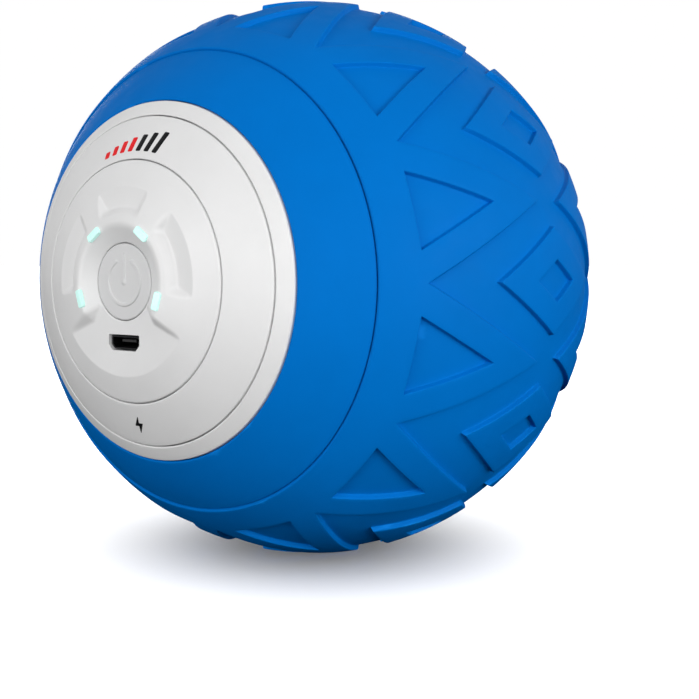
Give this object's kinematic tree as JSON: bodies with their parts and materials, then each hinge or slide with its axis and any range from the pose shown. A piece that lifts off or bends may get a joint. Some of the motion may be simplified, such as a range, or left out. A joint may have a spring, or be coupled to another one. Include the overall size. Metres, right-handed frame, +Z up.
{
  "type": "vibrating massage ball",
  "caption": "Round vibrating massage ball with a grooved silicone tread, a hard cap with a push button, lamps and a charging socket, and a motor with eccentric weights inside.",
  "frame": {"origin": "centre of the ball", "axes": "+Z up, the control cap faces -Y, the motor's shaft lies along Y"},
  "size_m": [0.1196, 0.1184, 0.1196],
  "materials": {
    "cell_sleeve": "shrink wrap",
    "wire_black": "insulation",
    "wire_red": "insulation",
    "lamp_chip": "lit",
    "steel": "zinc plated",
    "bronze": "plain",
    "core_plastic": "moulded",
    "black_plastic": "moulded",
    "socket_metal": "plated",
    "board_green": "solder resist",
    "cap_shell": "fine satin moulded plastic",
    "skin_silicone": "matte moulded silicone",
    "soft_rubber": "soft",
    "lamp_lens": "clear, lit from behind",
    "button_face": "fine satin moulded plastic",
    "tread_silicone": "matte moulded silicone"
  },
  "bodies": {
    "housing": {"battery_cell_lower": "cell_sleeve", "battery_cell_upper": "cell_sleeve", "battery_lead_black": "wire_black", "battery_lead_red": "wire_red", "board_lamps": "lamp_chip", "board_screws": "steel", "board_terminals": "bronze", "cap_screws": "steel", "cell_holder_lower": "core_plastic", "cell_holder_upper": "core_plastic", "cell_link_wire": "wire_red", "cell_tabs": "steel", "charging_coil": "black_plastic", "charging_socket_shell": "socket_metal", "charging_socket_tongue": "black_plastic", "chassis_plate": "core_plastic", "control_board": "board_green", "control_chip": "black_plastic", "control_panel": "cap_shell", "core_screws": "steel", "front_bezel_ring": "cap_shell", "front_collar": "skin_silicone", "front_core_shell": "core_plastic", "front_gasket": "soft_rubber", "front_motor_damper": "soft_rubber", "front_motor_retainer": "core_plastic", "front_trim_ring": "cap_shell", "lamp_lens_1": "lamp_lens", "lamp_lens_2": "lamp_lens", "lamp_lens_3": "lamp_lens", "lamp_lens_4": "lamp_lens", "motor_brushes": "bronze", "motor_bushes": "bronze", "motor_can": "steel", "motor_driver_chip": "black_plastic", "motor_end_bell": "black_plastic", "motor_lead_black": "wire_black", "motor_lead_red": "wire_red", "motor_magnets": "steel", "motor_terminals": "bronze", "radio_module": "black_plastic", "rear_bezel_ring": "cap_shell", "rear_cap": "cap_shell", "rear_collar": "skin_silicone", "rear_core_shell": "core_plastic", "rear_gasket": "soft_rubber", "rear_motor_damper": "soft_rubber", "rear_motor_retainer": "core_plastic", "retainer_screws": "steel", "tact_switch_base": "black_plastic", "tread_sleeve": "tread_silicone"},
    "rotor": {"motor_shaft": "steel", "motor_armature": "steel", "motor_winding": "bronze", "motor_commutator": "bronze", "front_eccentric_weight": "steel", "rear_eccentric_weight": "steel", "weight_set_screws": "steel"},
    "button": {"power_button": "button_face"},
    "switch_plunger": {"switch_plunger": "black_plastic"}
  },
  "joints": [
    {"name": "button_press", "type": "slide", "parent": "housing", "child": "button", "axis": [0, 1, 0], "range_m": [0, 0.0005], "stiffness_N_per_m": 2500, "springref_m": -0.0002},
    {"name": "plunger_press", "type": "slide", "parent": "housing", "child": "switch_plunger", "axis": [0, 1, 0], "range_m": [0, 0.0005]},
    {"name": "rotor_spin", "type": "hinge", "parent": "housing", "child": "rotor", "pos_m": [0, 0, 0], "axis": [0, 1, 0], "continuous": true}
  ],
  "couplings": [
    {"joint": "plunger_press", "follows": "button_press", "ratio": 1}
  ]
}
